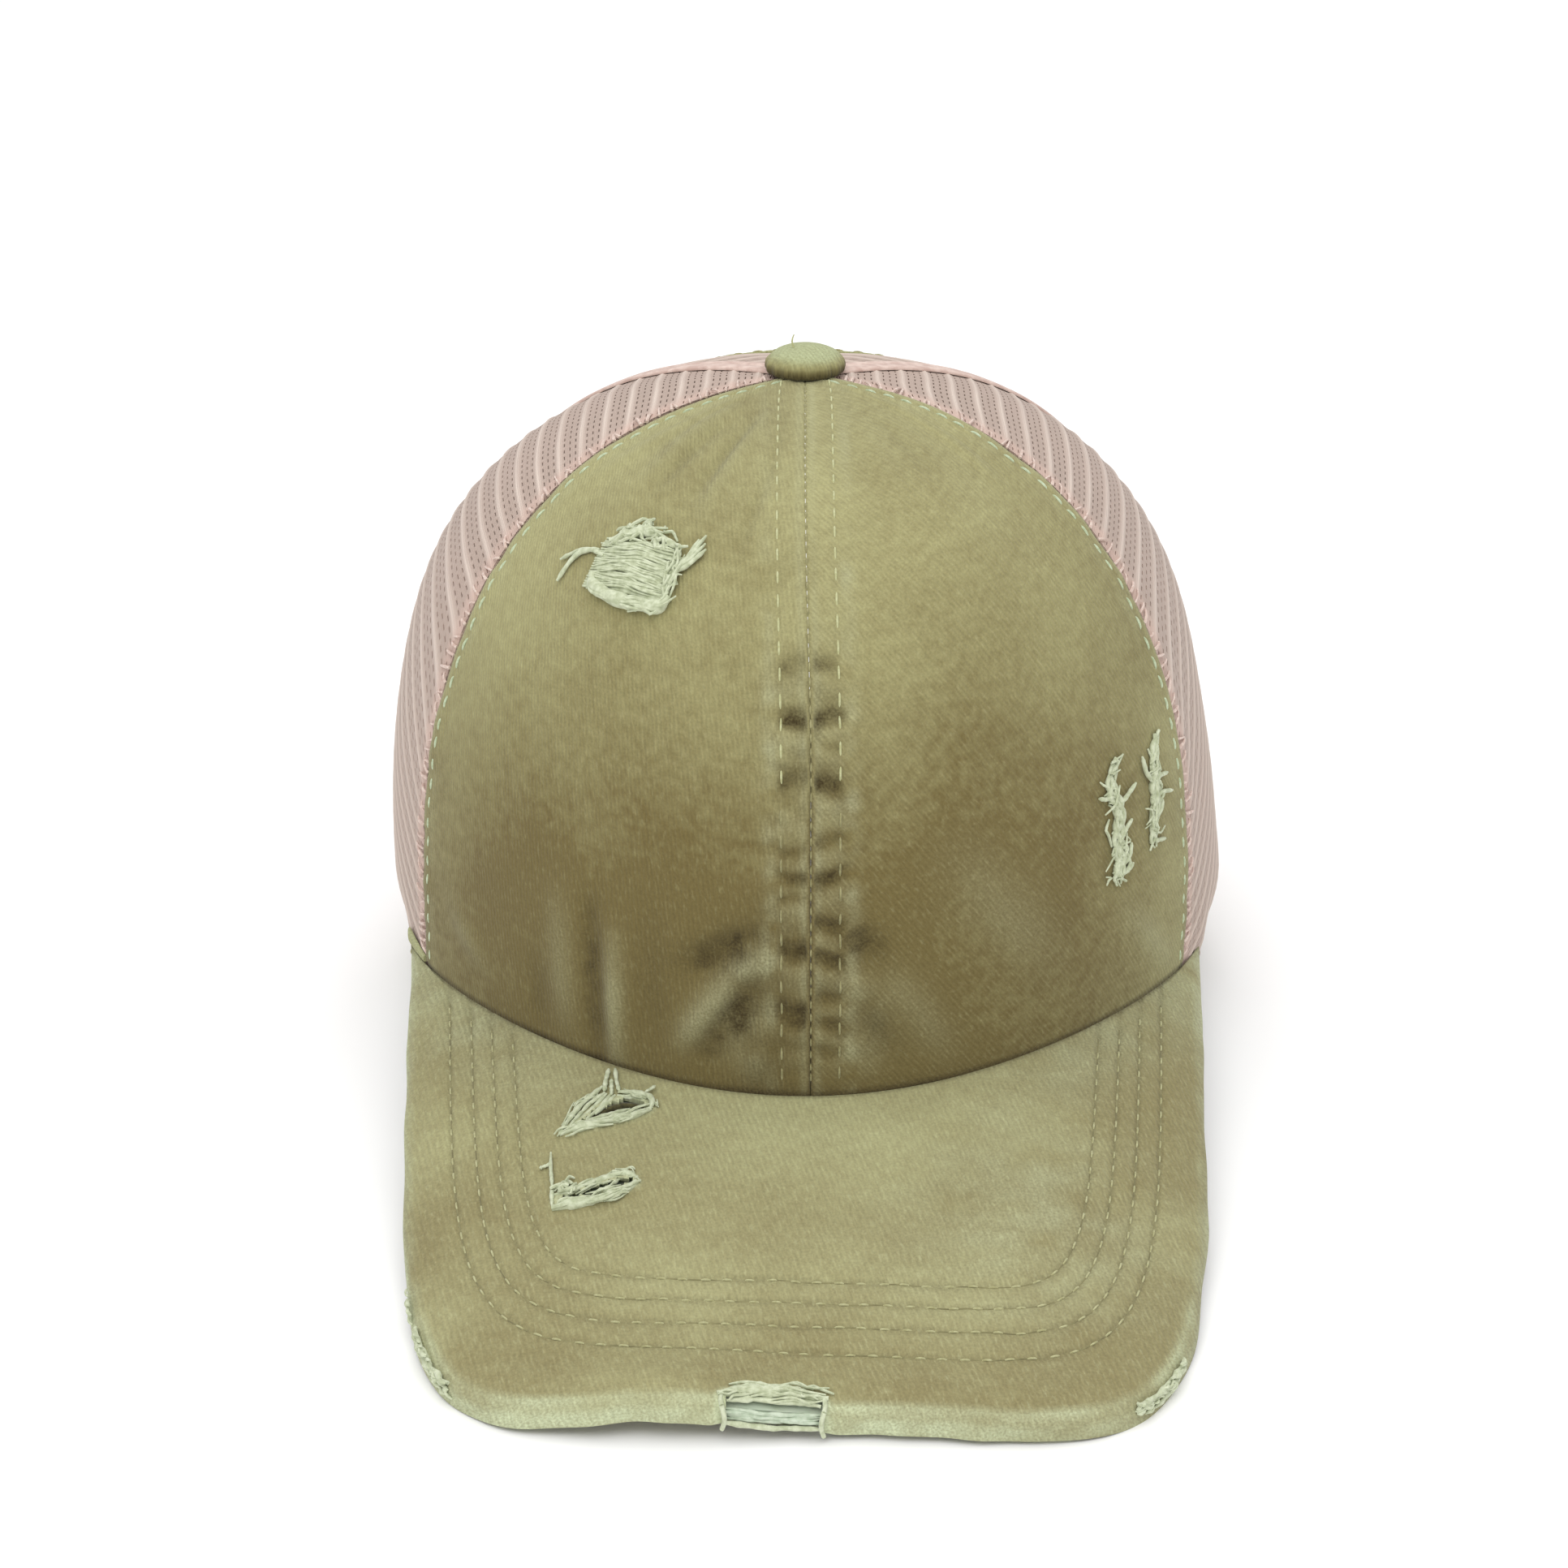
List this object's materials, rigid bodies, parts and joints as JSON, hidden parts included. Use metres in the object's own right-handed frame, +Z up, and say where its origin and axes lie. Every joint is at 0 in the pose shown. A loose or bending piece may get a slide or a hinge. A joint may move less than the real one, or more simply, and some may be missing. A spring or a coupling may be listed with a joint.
{
  "type": "ponytail baseball cap",
  "caption": "Washed twill baseball cap with net sides, a covered top button, a worn curved peak and a tall bound opening at the back for a ponytail.",
  "frame": {"origin": "middle of the cap's box, on the surface that it stands on", "axes": "+Z up, the peak towards -Y, +X to the right of someone who faces the peak"},
  "size_m": [0.1748, 0.2614, 0.1377],
  "materials": {
    "twill": "washed olive cotton twill, matt, paler along its edges",
    "peak_twill": "washed pale olive cotton twill, matt, stitched in rows",
    "net": "ribbed dusty pink polyester net, open holes",
    "trim": "olive twill binding, matt",
    "button": "twill pulled over a button",
    "board": "pale stiffener under the torn cloth",
    "band": "plain woven cotton sweatband"
  },
  "bodies": {
    "root": {"front_panel_left": "twill", "front_panel_right": "twill", "side_mesh_left": "net", "side_mesh_right": "net", "rear_mesh_left": "net", "rear_mesh_right": "net", "hem_left": "trim", "hem_right": "trim", "top_button": "button", "peak_top_cloth": "peak_twill", "peak_board": "board", "peak_under_cloth": "peak_twill", "sweatband": "band", "ponytail_binding": "trim", "back_strap": "trim", "strap_tab": "trim"}
  },
  "joints": []
}
